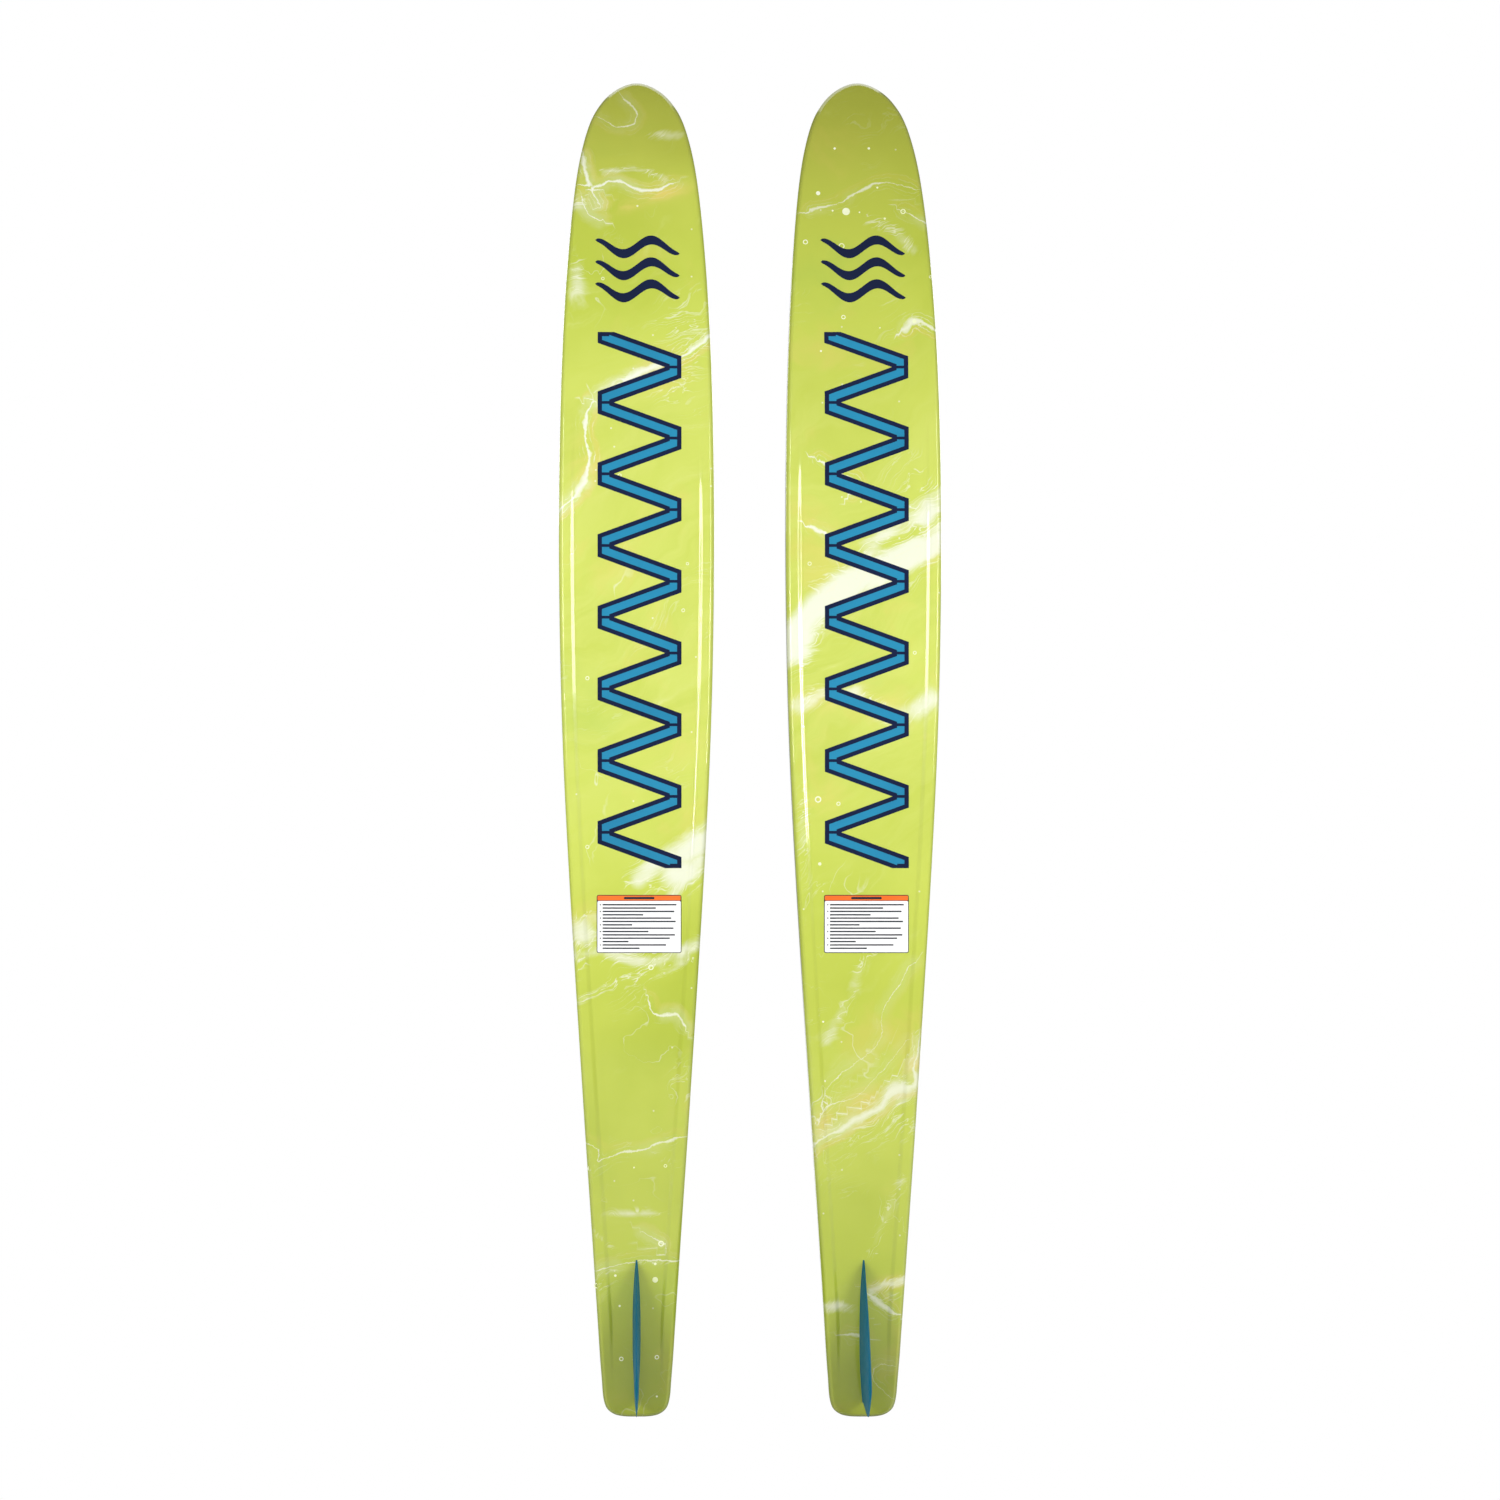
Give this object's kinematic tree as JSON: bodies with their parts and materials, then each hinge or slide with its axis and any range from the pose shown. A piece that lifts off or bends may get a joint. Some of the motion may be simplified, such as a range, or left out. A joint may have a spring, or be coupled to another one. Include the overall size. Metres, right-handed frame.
{
  "type": "water ski pair",
  "caption": "Pair of combination water skis with tunnel bases, drop fins, stretch toe pieces and sliding heel bindings locked by cam levers; the left ski adds a rear toe piece.",
  "frame": {"origin": "midway between the two skis, level with their tails, and halfway between the fin tips and the tops of the heel pull tabs", "axes": "+Z along the skis from the tails to the tips, +X to the rider's left ski, +Y out of the decks; the bases face -Y"},
  "size_m": [0.4514, 0.201, 1.5999],
  "materials": {
    "ski_base": "glossy lime moulded base with a white and yellow marbled pattern",
    "ski_deck": "glossy lime deck with a navy side band",
    "foam_core": "closed-cell foam",
    "fin": "teal moulded nylon, satin gloss",
    "plate": "black moulded nylon",
    "carriage": "dark grey moulded nylon",
    "clamp": "dark anodised bar",
    "lever": "teal glass-filled nylon",
    "boot_rubber": "stretch rubber, fine grain",
    "foam_pad": "EVA foam, embossed grooves",
    "grip_rubber": "ribbed rubber",
    "webbing": "woven nylon webbing",
    "steel": "stainless screws and washers",
    "brass": "knurled inserts"
  },
  "bodies": {
    "right_ski": {"right_ski_base_shell": "ski_base", "right_ski_deck_shell": "ski_deck", "right_ski_core": "foam_core", "right_fin": "fin", "right_fin_screws": "steel", "right_fin_screw_washers": "steel", "right_binding_inserts": "brass", "right_rear_inserts": "brass", "right_binding_plate": "plate", "right_plate_screws": "steel", "right_plate_washers": "steel", "right_front_footbed": "foam_pad", "right_toe_overlay": "boot_rubber", "right_toe_clamp_inner": "clamp", "right_toe_clamp_outer": "clamp", "right_toe_clamp_screws": "steel", "right_grip_strip": "grip_rubber"},
    "right_heel": {"right_heel_carriage": "carriage", "right_heel_cup": "boot_rubber", "right_heel_clamp": "clamp", "right_heel_clamp_screws": "steel", "right_heel_pad": "foam_pad", "right_heel_pull_tab": "webbing", "right_lock_pin": "steel"},
    "right_lever": {"right_lock_lever": "lever"},
    "left_ski": {"left_ski_base_shell": "ski_base", "left_ski_deck_shell": "ski_deck", "left_ski_core": "foam_core", "left_fin": "fin", "left_fin_screws": "steel", "left_fin_screw_washers": "steel", "left_binding_inserts": "brass", "left_rear_inserts": "brass", "left_binding_plate": "plate", "left_plate_screws": "steel", "left_plate_washers": "steel", "left_front_footbed": "foam_pad", "left_toe_overlay": "boot_rubber", "left_toe_clamp_inner": "clamp", "left_toe_clamp_outer": "clamp", "left_toe_clamp_screws": "steel", "left_grip_strip": "grip_rubber", "left_rear_plate": "plate", "left_rear_overlay": "boot_rubber", "left_rear_clamps": "clamp", "left_rear_clamp_screws": "steel", "left_rear_pad": "foam_pad", "left_rear_plate_screws": "steel"},
    "left_heel": {"left_heel_carriage": "carriage", "left_heel_cup": "boot_rubber", "left_heel_clamp": "clamp", "left_heel_clamp_screws": "steel", "left_heel_pad": "foam_pad", "left_heel_pull_tab": "webbing", "left_lock_pin": "steel"},
    "left_lever": {"left_lock_lever": "lever"}
  },
  "joints": [
    {"name": "ski_spacing", "type": "slide", "parent": "right_ski", "child": "left_ski", "axis": [1, 0, 0], "range_m": [-0.07, 0.3]},
    {"name": "right_heel_adjust", "type": "slide", "parent": "right_ski", "child": "right_heel", "axis": [0, 0, 1], "range_m": [-0.02, 0.02]},
    {"name": "right_lock_lever", "type": "hinge", "parent": "right_heel", "child": "right_lever", "pos_m": [-0.134, -0.0105, 0.6], "axis": [1, 0, 0], "range_deg": [0, 95]},
    {"name": "left_heel_adjust", "type": "slide", "parent": "left_ski", "child": "left_heel", "axis": [0, 0, 1], "range_m": [-0.02, 0.02]},
    {"name": "left_lock_lever", "type": "hinge", "parent": "left_heel", "child": "left_lever", "pos_m": [0.134, -0.0105, 0.6], "axis": [1, 0, 0], "range_deg": [0, 95]}
  ]
}
